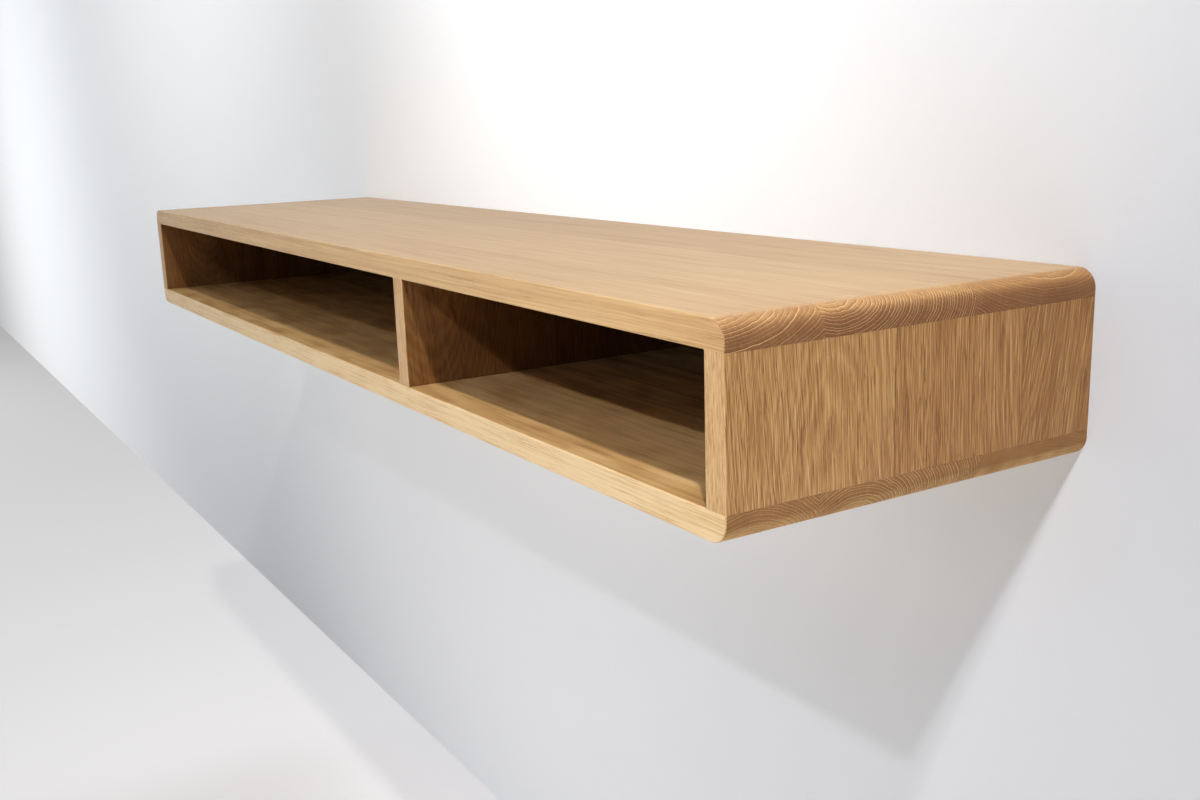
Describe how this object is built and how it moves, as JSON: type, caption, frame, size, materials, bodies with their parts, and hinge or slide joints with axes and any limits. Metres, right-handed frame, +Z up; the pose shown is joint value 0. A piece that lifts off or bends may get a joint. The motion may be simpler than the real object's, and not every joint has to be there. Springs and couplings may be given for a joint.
{
  "type": "floating console shelf",
  "caption": "Wall-hung open console in solid oak: full-length top and bottom boards with rounded ends, upright ends and an off-centre divider, hung on a hidden bevelled wall rail.",
  "frame": {"origin": "middle of the wall rail's back face, on the wall plane", "axes": "+X along the case towards the end with the narrow bay, +Y out of the back into the wall, +Z up"},
  "size_m": [1.31, 0.312, 0.13],
  "materials": {
    "oak_board": "oiled, satin, grain along the length",
    "oak_upright": "oiled, satin, grain upright",
    "oak_back": "oiled, satin",
    "oak_rail": "planed, unfinished",
    "beech_tenon": "milled, unfinished"
  },
  "bodies": {
    "wall_rail": {"wall_rail": "oak_rail"},
    "case": {"top_panel": "oak_board", "bottom_panel": "oak_board", "left_end_panel": "oak_upright", "right_end_panel": "oak_upright", "divider_panel": "oak_upright", "back_panel": "oak_back", "case_rail": "oak_rail", "top_left_tenon_1": "beech_tenon", "top_left_tenon_2": "beech_tenon", "top_left_tenon_3": "beech_tenon", "bottom_left_tenon_1": "beech_tenon", "bottom_left_tenon_2": "beech_tenon", "bottom_left_tenon_3": "beech_tenon", "top_divider_tenon_1": "beech_tenon", "top_divider_tenon_2": "beech_tenon", "bottom_divider_tenon_1": "beech_tenon", "bottom_divider_tenon_2": "beech_tenon", "top_right_tenon_1": "beech_tenon", "top_right_tenon_2": "beech_tenon", "top_right_tenon_3": "beech_tenon", "bottom_right_tenon_1": "beech_tenon", "bottom_right_tenon_2": "beech_tenon", "bottom_right_tenon_3": "beech_tenon", "left_rail_dowel": "beech_tenon", "right_rail_dowel": "beech_tenon"}
  },
  "joints": [
    {"name": "case_lift", "type": "slide", "parent": "wall_rail", "child": "case", "axis": [0, -0.7071, 0.7071], "range_m": [0, 0.06]}
  ]
}
